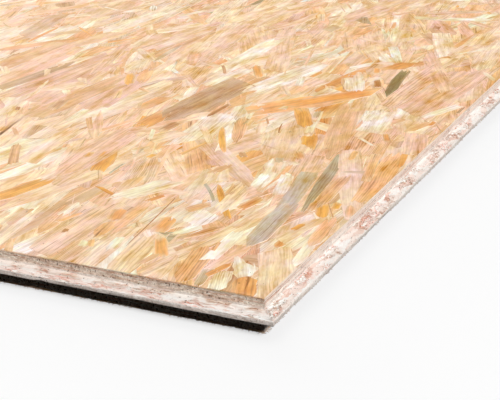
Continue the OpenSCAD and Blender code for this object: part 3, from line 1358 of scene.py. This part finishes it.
@dataclass(frozen=True)
class TornFibres:
    """Short fibres that the cutters left along the lower arris under the tongues.

    Attributes:
        low: Lowest corner of the underside, where its two arrises meet.
        high: Highest corner of the underside.
        name: The piece's name.
        seed: Seed of all draws.
        pitch: Mean distance from fibre to fibre.
        bedded: How far a fibre reaches into the board.
        half_width: Range of half the width of a fibre's root, in millimetres.
        reach: Range of how far a fibre stands out, in millimetres.
        skew: Spread of how far a fibre's tip lies to one side, in millimetres.
        lift: Range of a fibre's height above the underside, in millimetres.
        thickness: Range of a fibre's thickness, in millimetres.
    """

    low: Array
    high: Array
    name: str = "torn_fibres"
    seed: int = 8
    pitch: float = 1.3 * MM
    bedded: float = 0.6 * MM
    half_width: tuple[float, float] = (0.2, 0.6)
    reach: tuple[float, float] = (0.25, 1.5)
    skew: float = 0.5
    lift: tuple[float, float] = (0.02, 0.12)
    thickness: tuple[float, float] = (0.12, 0.28)

    def build(self, finish: bpy.types.Material) -> bpy.types.Object:
        """Return the fibres of both arrises as one piece of closed slivers.

        Args:
            finish: The fibres' material.

        Returns:
            The object. Every sliver is a flat triangular wedge of six points.
        """
        rng = np.random.default_rng(self.seed)
        slivers = np.concatenate([self._row(rng, 0), self._row(rng, 1)])
        count = len(slivers)
        first = 6 * np.arange(count)[:, None]
        top, bottom = first + [0, 1, 2], first + [3, 4, 5]
        after, below = np.roll(top, -1, 1), np.roll(bottom, -1, 1)
        walls = np.stack([bottom, below, after, top], -1).reshape(-1, 4)
        rings = [bottom[:, ::-1], walls, top]
        columns = math.ceil(math.sqrt(count))
        cell = np.stack(np.divmod(np.arange(count), columns), -1)[:, None]
        flat = slivers[..., :2] - slivers[..., :2].min(1, keepdims=True)
        spots = ((cell + 0.1 + 0.8 * flat / flat.max()) / columns).reshape(-1, 2)
        corners = np.concatenate([ring.ravel() for ring in rings])
        return make_piece(
            self.name, slivers.reshape(-1, 3), rings, {BAKE_MAP: spots[corners]}, {}, [finish]
        )

    def _row(self, rng: np.random.Generator, axis: int) -> Array:
        """Return the fibres along one arris.

        Args:
            rng: Source of the draws.
            axis: The axis that the arris runs along, 0 for X and 1 for Y.

        Returns:
            Places as fibres by six points by three: the upper triangle, anticlockwise from
            above, then the lower. Long fibres are rarer than short ones.
        """
        span = self.high[axis] - self.low[axis]
        count = int(span / self.pitch)
        place = (np.arange(count) + rng.uniform(0.1, 0.9, count)) * span / count
        half = rng.uniform(*self.half_width, count) * MM
        least, most = self.reach
        reach = (least + (most - least) * rng.random(count) ** 2) * MM
        skew = rng.normal(0, self.skew, count) * MM
        along = np.stack([place - half, place + skew, place + half], -1)
        across = np.stack([np.full(count, self.bedded), -reach, np.full(count, self.bedded)], -1)
        if axis:
            along, across = along[:, ::-1], across[:, ::-1]
        flat = np.stack([across, along] if axis else [along, across], -1) + self.low
        lift = rng.uniform(*self.lift, (count, 1, 1)) * MM
        high = lift + rng.uniform(*self.thickness, (count, 1, 1)) * MM
        levels = np.broadcast_to(np.stack([high, lift], 1), (count, 2, 3, 1))
        flat = np.broadcast_to(flat[:, None], (count, 2, 3, 2))
        return np.concatenate([flat, levels], -1).reshape(count, 6, 3)


# The strands of the faces


@dataclass
class Strands:
    """A set of strands, one row of every array for each.

    Attributes:
        centre: Places of the middles.
        size: Lengths and widths.
        turn: Angles from the X axis.
        depth: How far under the board's face each lies.
        tint: Linear colours.
        bands: How clearly growth rings show.
        fade: How far the colour fades towards the rim.
        ends: How likely an end is to taper, and the length of its splinters.
    """

    centre: Array
    size: Array
    turn: Array
    depth: Array
    tint: Array
    bands: Array
    fade: Array
    ends: Array


@dataclass(frozen=True)
class Outline:
    """How strands' outlines vary. A range is a least and a greatest value.

    Attributes:
        power: Range of the power of the distance by which the width falls towards the ends.
        pointed: Range of the width of an end that tapers, as a share of the middle's.
        blunt: Range of the width of any other end.
        wave: Spread of the unevenness of the sides for a slender strand, and what its ratio of
            width to length adds to it.
        slant: Spread of the slope of the line along which an end is cut.
        longest: Longest splinters, as a share of half the length.
        rarity: Power that makes long splinters rarer than short ones.
        bow: Spread of the bow, as a share of half the length.
    """

    power: tuple[float, float] = (1.5, 6)
    pointed: tuple[float, float] = (0.05, 0.4)
    blunt: tuple[float, float] = (0.7, 1)
    wave: tuple[float, float] = (0.035, 0.14)
    slant: float = 0.6
    longest: float = 0.6
    rarity: float = 1.5
    bow: float = 0.02

    def draw(self, rng: np.random.Generator, strands: Strands, sides: int, ends: int) -> Array:
        """Return strands' outlines, each in its own frame.

        Args:
            rng: Source of the draws.
            strands: The strands.
            sides: Points along each long side.
            ends: Points across each end.

        Returns:
            An array of strands by points by two. The outline runs along one side, round the
            ragged end, back along the other side and round the other end. Its half width falls
            from the middle to the ends by a power of the distance, and the points of an end stand
            in and out at random along a slanted line.
        """
        count = len(strands.turn)
        side = np.linspace(-1, 1, sides)
        end = np.linspace(-1, 1, ends + 2)[1:-1]
        one = np.ones(ends)
        along = np.concatenate([side, one, side[::-1], -one])[None, :]
        across = np.concatenate([-np.ones(sides), end, np.ones(sides), end[::-1]])[None, :]
        tip = np.abs(along) == 1
        right = along > 0

        power = rng.uniform(*self.power, (count, 1))
        tapers = rng.random((2, count, 1)) < strands.ends[:, :1]
        pointed, blunt = (rng.uniform(*r, tapers.shape) for r in (self.pointed, self.blunt))
        width = np.where(right, *np.where(tapers, pointed, blunt))
        share = 1 - (1 - width) * np.abs(along) ** power
        half, reach = strands.size[:, None, 1] / 2, strands.size[:, None, 0] / 2
        uneven = self.wave[0] + self.wave[1] * half / reach
        wave = rng.normal(0, 1, (count, along.shape[1])) * uneven
        t = (across * share + wave) * half

        slant = np.where(right, *rng.normal(0, self.slant, (2, count, 1)))
        longest = np.minimum(strands.ends[:, 1:], reach * self.longest)
        tooth = np.where(right, *(rng.random((2, count, 1)) ** self.rarity)) * longest
        jag = rng.random((count, along.shape[1])) * tooth
        s = along * reach + np.where(tip, slant * t - np.sign(along) * jag, 0)
        bow = rng.normal(0, self.bow, (count, 1)) * reach
        return np.stack([s, t + bow * along**2], -1)


@dataclass
class Chips:
    """Strands cut to shape, with the same number of outline points each.

    Attributes:
        ring: Upper outlines in the board's frame, as chips by points by three.
        local: The same points along and across each strand, in metres.
        share: The same points as shares of half the strand's length and width.
        tint: Linear colours.
        figure: Growth rings, pores, seed and fade.
    """

    ring: Array
    local: Array
    share: Array
    tint: Array
    figure: Array

    def pick(self, chosen: Array) -> Chips:
        """Return some of the chips, the lowest first."""
        order = chosen[np.argsort(self.ring[chosen, :, 2].mean(1))]
        return Chips(*[getattr(self, item.name)[order] for item in fields(self)])


@dataclass
class StrandFace:
    """One face of the board: thousands of strands pressed flat over one another.

    Attributes:
        name: First part of the pieces' names.
        low: Lowest corner of the face, seen from outside.
        high: Highest corner of the face.
        thickness: Height of the face.
        seed: Seed of all draws.
        upward: Whether the face looks up.
        marked: Strands that are placed one by one.
        lean: Mean angle of the strands from the X axis.
        overhang: How far past the face strands are drawn before they are cut off.
        chip: Thickness of a strand.
        strips: Pieces that the face is made in.
        windows: Parts of a strip that lie over one another on its bake map.
        lengths: Least and greatest length of a random strand, in millimetres.
        widths: Least and greatest width of a random strand, in millimetres.
        rings: Middle and spread of how clearly growth rings show.
        fades: Range of how far colours fade towards the rim.
        fray: Range of how far strands stop short of the edges.
        slopes: Spreads of the slopes at which strands lie, along them and across.
        smallest: Side of the square that has the area of the smallest chip that is kept.
        marked_points: Outline points along a side and across an end of a marked strand.
        marked_depth: Depth under the board's face of the lowest marked strand.
    """

    name: str
    low: Array
    high: Array
    thickness: float
    seed: int
    upward: bool
    marked: tuple[Marked, ...] = ()
    lean: float = 0.1
    overhang: float = 45 * MM
    chip: float = 0.5 * MM
    strips: int = 6
    windows: int = 4
    lengths: tuple[float, float] = (10, 150)
    widths: tuple[float, float] = (1, 38)
    rings: tuple[float, float] = (0.25, 0.3)
    fades: tuple[float, float] = (0.0, 0.9)
    fray: tuple[float, float] = (0.02 * MM, 0.22 * MM)
    slopes: tuple[float, float] = (0.0006, 0.0015)
    smallest: float = 3 * MM
    marked_points: tuple[int, int] = (6, 7)
    marked_depth: float = 0.05 * MM

    def build(self, finish: bpy.types.Material) -> list[bpy.types.Object]:
        """Return the face's pieces, strips of the face side by side.

        Args:
            finish: The strands' material.

        Returns:
            One object for each strip.
        """
        rng = np.random.default_rng(self.seed)
        sets = []
        for layer in LAYERS:
            sets.append(self._cut(rng, self._scatter(rng, layer), layer.sides, layer.ends))
        if self.marked:
            sets.append(self._cut(rng, self._by_hand(), *self.marked_points))
        width = (self.high[1] - self.low[1]) / self.strips
        pieces = []
        for number in range(self.strips):
            parts = []
            for chips in sets:
                strip = (chips.ring[..., 1].mean(1) - self.low[1]) // width
                parts.append(chips.pick(np.flatnonzero(strip == number)))
            parts = [part for part in parts if len(part.ring)]
            pieces.append(self._piece(f"{self.name}_{number + 1}", parts, finish))
        return pieces

    def _scatter(self, rng: np.random.Generator, layer: Layer) -> Strands:
        """Return the strands of one layer.

        Args:
            rng: Source of the draws.
            layer: The layer.

        Returns:
            One strand near every point of a grid that reaches a little past the face.
        """
        cell = np.array(layer.cell) * MM
        low, high = self.low - self.overhang, self.high + self.overhang
        counts = np.ceil((high - low) / cell).astype(int)
        grid = np.stack(np.meshgrid(*[np.arange(c) for c in counts], indexing="ij"), -1)
        grid = grid.reshape(-1, 2) + rng.uniform(-layer.jitter, layer.jitter, (counts.prod(), 2))
        count = len(grid)
        kind = rng.choice(len(layer.cuts), count, p=[cut.share for cut in layer.cuts])
        length, width, turn, taper, teeth = (
            np.array([getattr(cut, name) for cut in layer.cuts])[kind]
            for name in ("length", "width", "turn", "taper", "teeth")
        )
        length = np.clip(rng.normal(*length.T), *self.lengths) * MM
        width = rng.lognormal(np.log(width[:, 0]), width[:, 1])
        width = np.clip(width, *self.widths) * MM
        return Strands(
            centre=low + (grid + 0.5) * cell,
            size=np.stack([length, width], -1),
            turn=rng.normal(self.lean, np.radians(turn)),
            depth=rng.uniform(*layer.depth, count) * MM,
            tint=Palette().draw(rng, count),
            bands=np.clip(rng.normal(*self.rings, count), 0, 1),
            fade=rng.uniform(*self.fades, count),
            ends=np.stack([taper, teeth * MM], -1),
        )

    def _by_hand(self) -> Strands:
        """Return the listed strands, over the others, the last one highest."""
        start, end, width, bands, fade, taper, teeth = (
            np.array([getattr(mark, name) for mark in self.marked])
            for name in ("start", "end", "width", "bands", "fade", "taper", "teeth")
        )
        run = (end - start) * MM
        return Strands(
            centre=self.low + start * MM + run / 2,
            size=np.stack([np.hypot(*run.T), width * MM], -1),
            turn=np.arctan2(run[:, 1], run[:, 0]),
            depth=np.linspace(self.marked_depth, 0.0, len(run)),
            tint=np.stack([linear(mark.tone.value) for mark in self.marked]),
            bands=bands,
            fade=fade,
            ends=np.stack([taper, teeth * MM], -1),
        )

    def _cut(self, rng: np.random.Generator, strands: Strands, sides: int, ends: int) -> Chips:
        """Return strands as chips: shaped, laid in place, and cut off along the board's edges.

        Args:
            rng: Source of the draws.
            strands: The strands.
            sides: Points along each long side.
            ends: Points across each end.

        Returns:
            The chips that aren't too small. Each lies at its depth and a little aslant, with its
            highest point there.
        """
        local = Outline().draw(rng, strands, sides, ends)
        cos, sin = np.cos(strands.turn)[:, None], np.sin(strands.turn)[:, None]
        x = local[..., 0] * cos - local[..., 1] * sin + strands.centre[:, :1]
        y = local[..., 0] * sin + local[..., 1] * cos + strands.centre[:, 1:]
        fray = rng.uniform(*self.fray, (len(x), 1))
        places = np.stack([x, y])
        for axis, other in ((0, 1), (1, 0)):
            for edge, sign in ((self.low[axis] + fray, -1), (self.high[axis] - fray, 1)):
                along, out = self._sawn(places[other], sign * (places[axis] - edge))
                places[other], places[axis] = along, edge + sign * out
        x, y = places
        area = np.abs((x * np.roll(y, -1, 1) - np.roll(x, -1, 1) * y).sum(1)) / 2
        dx, dy = x - strands.centre[:, :1], y - strands.centre[:, 1:]
        local = np.stack([dx * cos + dy * sin, dy * cos - dx * sin], -1)
        slopes = [rng.normal(0, slope, (len(x), 1)) for slope in self.slopes]
        slant = slopes[0] * local[..., 0] + slopes[1] * local[..., 1]
        z = self.thickness - strands.depth[:, None] + slant - slant.max(1, keepdims=True)
        pores, seeds = rng.random(len(x)) ** 2, rng.random(len(x))
        chips = Chips(
            ring=np.stack([x, y, z], -1),
            local=local,
            share=local / strands.size[:, None] * 2,
            tint=strands.tint,
            figure=np.stack([strands.bands, pores, seeds, strands.fade], -1),
        )
        return chips.pick(np.flatnonzero(area > self.smallest**2))

    @staticmethod
    def _sawn(along: Array, out: Array) -> tuple[Array, Array]:
        """Return outlines cut off along a straight line.

        Args:
            along: The outlines' points along the line, one row for each outline.
            out: How far the points stand out past the line.

        Returns:
            The same two for the cut outlines, which start at their innermost points. The points
            that stood out are spread evenly on the line, from where the outline crosses it
            outwards to where it comes back.
        """
        points = out.shape[1]
        here = np.arange(points)[None, :]
        order = (np.argmin(out, 1)[:, None] + here) % points
        along, out = np.take_along_axis(along, order, 1), np.take_along_axis(out, order, 1)
        past = out > 0
        crosses = past != np.roll(past, -1, 1)
        rise = np.where(crosses, np.roll(out, -1, 1) - out, 1)
        crossing = along - out * (np.roll(along, -1, 1) - along) / rise
        first = np.where(past & ~np.roll(past, 1, 1), here, 0)
        last = np.where(past & ~np.roll(past, -1, 1), here, points - 1)
        first = np.maximum.accumulate(first, 1)
        last = np.minimum.accumulate(last[:, ::-1], 1)[:, ::-1]
        leave = np.take_along_axis(crossing, first - 1, 1)
        enter = np.take_along_axis(crossing, last, 1)
        share = np.where(last > first, (here - first) / np.maximum(last - first, 1), 0.5)
        return np.where(past, leave + (enter - leave) * share, along), np.minimum(out, 0)

    def _piece(
        self, name: str, parts: list[Chips], finish: bpy.types.Material
    ) -> bpy.types.Object:
        """Return one strip as a piece of closed chips.

        Args:
            name: The piece's name.
            parts: Its chips.
            finish: The material.

        Returns:
            The object. The upper faces come last, from the lowest layer to the highest.
        """
        bake = self._bake_spots(parts)
        places, spots, hidden, shown = [], [], [], []
        first = chip = 0
        for part, flat in zip(parts, bake):
            count, points = part.ring.shape[:2]
            places += [part.ring.reshape(-1, 3), (part.ring - [0, 0, self.chip]).reshape(-1, 3)]
            spot = np.concatenate([part.local, part.share, flat], -1).reshape(-1, 6)
            spots += [spot, spot]
            top = first + np.arange(count * points).reshape(count, points)
            bottom = top + count * points
            after, below = np.roll(top, -1, 1), np.roll(bottom, -1, 1)
            chips = chip + np.arange(count)
            hidden.append((bottom[:, ::-1], chips))
            walls = np.stack([bottom, below, after, top], -1).reshape(-1, 4)
            hidden.append((walls, np.repeat(chips, points)))
            shown.append((top, chips))
            first += 2 * count * points
            chip += count
        rings = [ring for ring, _ in hidden + shown]
        owner = np.concatenate([chips for _, chips in hidden + shown])
        spots = np.concatenate(spots)[np.concatenate([ring.ravel() for ring in rings])]
        maps = {STRAND_MAP: spots[:, :2], RIM_MAP: spots[:, 2:4], BAKE_MAP: spots[:, 4:]}
        tint = np.concatenate([part.tint for part in parts])
        tint = np.concatenate([tint, np.ones((len(tint), 1))], -1)
        figure = np.concatenate([part.figure for part in parts])
        tones = {TINT: tint[owner], FIGURE: figure[owner]}
        places = np.concatenate(places)
        if not self.upward:
            places = places * [1, -1, -1] + [0, 0, self.thickness]
        return make_piece(name, places, rings, maps, tones, [finish])

    def _bake_spots(self, parts: list[Chips]) -> list[Array]:
        """Return the chips' places on the bake map.

        Args:
            parts: A strip's chips.

        Returns:
            Places from 0 to 1. The strip is cut into windows by the chips' middles, which lie over
            one another on the map at one scale.
        """
        span = (self.high[0] - self.low[0]) / self.windows
        flat = [part.ring[..., :2] for part in parts]
        window = [(ring[..., 0].mean(1) - self.low[0]) // span for ring in flat]
        spots = [np.empty(ring.shape) for ring in flat]
        gap = 2 * MM
        top = widest = 0.0
        for number in range(self.windows):
            inside = [ring[group == number].reshape(-1, 2) for ring, group in zip(flat, window)]
            every = np.concatenate(inside)
            low, high = every.min(0), every.max(0)
            for spot, ring, group in zip(spots, flat, window):
                spot[group == number] = ring[group == number] - low + [gap, top + gap]
            top += high[1] - low[1] + 2 * gap
            widest = max(widest, high[0] - low[0] + 2 * gap)
        return [spot / max(widest, top) for spot in spots]


# The studio


@dataclass(frozen=True)
class Camera:
    """The camera, placed from the corner between the two tongues.

    Attributes:
        offset: Its place from that corner of the upper face, in metres.
        heading: Direction it looks in.
        lens: Focal length in millimetres.
        sensor: Width of the sensor in millimetres.
        reach: Nearest and farthest distance at which things are seen, in metres.
    """

    offset: tuple[float, float, float] = (-0.5441, -0.2391, 0.2696)
    heading: tuple[float, float, float] = (0.8535, 0.3865, -0.3496)
    lens: float = 102.67
    sensor: float = 36.0
    reach: tuple[float, float] = (0.01, 100.0)

    def build(self, corner: Vector) -> bpy.types.Object:
        """Return the camera, set as the scene's own.

        Args:
            corner: The corner of the upper face.

        Returns:
            The camera.
        """
        data = bpy.data.cameras.new("camera")
        data.lens, data.sensor_width = self.lens, self.sensor
        data.clip_start, data.clip_end = self.reach
        camera = bpy.data.objects.new("camera", data)
        camera.location = corner + Vector(self.offset)
        camera.rotation_mode = "QUATERNION"
        camera.rotation_quaternion = Vector(self.heading).to_track_quat("-Z", "Y")
        bpy.context.scene.collection.objects.link(camera)
        bpy.context.scene.camera = camera
        return camera


@dataclass(frozen=True)
class Lamp:
    """A wide, soft lamp, far away.

    Attributes:
        name: The lamp's name.
        towards: Direction from the board to the lamp.
        strength: Its strength.
        spread: Angle under which it is seen, in degrees.
    """

    name: str
    towards: tuple[float, float, float]
    strength: float
    spread: float

    def build(self) -> bpy.types.Object:
        """Return the lamp, linked to the scene."""
        data = bpy.data.lights.new(self.name, "SUN")
        data.energy = self.strength
        data.angle = math.radians(self.spread)
        lamp = bpy.data.objects.new(self.name, data)
        lamp.rotation_mode = "QUATERNION"
        lamp.rotation_quaternion = (-Vector(self.towards)).to_track_quat("-Z", "Y")
        bpy.context.scene.collection.objects.link(lamp)
        return lamp


LAMPS = (
    Lamp("key", (-0.44, -0.64, 0.62), 3.32, 15),
    Lamp("overhead", (0.0, 0.0, 1.0), 0.62, 80),
    Lamp("back", (0.60, 0.55, 0.20), 0.9, 40),
    Lamp("low_back", (0.68, 0.62, 0.03), 2.0, 20),
)


@dataclass
class Studio:
    """The floor, the lamps, the pale surroundings and the camera.

    Attributes:
        corner: The corner of the upper face between the tongues.
        half_floor: Half the side of the floor.
        floor_gap: How far the floor lies under the board, so that the two never touch.
        fill: Strength of the light from all round.
        bounce: Share of the light that the floor throws back onto the board.
        glow: How much of the floor's seen colour is white that takes no shadow.
    """

    corner: Vector
    half_floor: float = 30.0
    floor_gap: float = 0.2 * MM
    fill: float = 0.012
    bounce: float = 0.015
    glow: float = 0.55

    def build(self) -> None:
        """Make all of it."""
        Camera().build(self.corner)
        for lamp in LAMPS:
            lamp.build()
        self._surround()
        self._floor()

    def _floor(self) -> bpy.types.Object:
        """Return the floor, just under the board."""
        spots = np.array([[0, 0], [1, 0], [1, 1], [0, 1]])
        places = np.column_stack([(2 * spots - 1) * self.half_floor, np.full(4, -self.floor_gap)])
        paint = self._floor_paint()
        return make_piece("floor", places, [np.arange(4)[None, :]], {"Floor": spots}, {}, [paint])

    def _floor_paint(self) -> bpy.types.Material:
        """Return the floor's paint: white to the eye, dark to the light that it throws back."""
        g = Graph(bpy.data.materials.new("floor_paint"))
        seen = g.seen()
        colour = g.mix(seen, (self.bounce,) * 3, WHITE)
        lit = g.add("BsdfDiffuse", None, {"Color": colour})
        white = g.add("Emission", None, {"Color": WHITE, "Strength": 1.0})
        return g.close(g.add("MixShader", None, {0: seen * self.glow, 1: lit, 2: white}))

    def _surround(self) -> None:
        """Give the world its soft fill light, and white wherever it is seen."""
        world = bpy.data.worlds.new("surround")
        g = Graph(world)
        strength = g.seen() * (1.0 - self.fill) + self.fill
        g.close(g.add("Background", None, {"Color": WHITE, "Strength": strength}))
        bpy.context.scene.world = world


def main() -> None:
    """Build the board and its studio, and report each piece."""
    logging.basicConfig(level=logging.INFO, format="%(name)s: %(message)s")
    bpy.context.scene.view_settings.view_transform = "Standard"
    low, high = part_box(NODE)
    section = JointSection(thickness=high.z - low.z)
    reach = section.tongue.reach
    face_low = np.array([low.x + reach, low.y + reach])
    face_high = np.array([high.x, high.y])
    Studio(Vector((*face_low, high.z))).build()

    body = BoardBody(section, low, high).build()
    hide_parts(NODE)
    fibres = TornFibres(face_low, face_high).build(body.data.materials[0])
    pieces = [body, fibres]
    finish = StrandFinish().build()
    flip = np.array([1, -1])
    under = np.array([face_low, face_high - section.lip_setback]) * flip
    faces = (
        StrandFace("face_strands", face_low, face_high, high.z, 5, True, MARKED_STRANDS),
        StrandFace("underside_strands", under.min(0), under.max(0), high.z, 6, False),
    )
    for face in faces:
        pieces += face.build(finish)
    for piece in pieces:
        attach(piece, "root")
        LOG.info("%s: %d faces", piece.name, len(piece.data.polygons))
    bpy.context.view_layer.update()


if __name__ == "__main__":
    main()
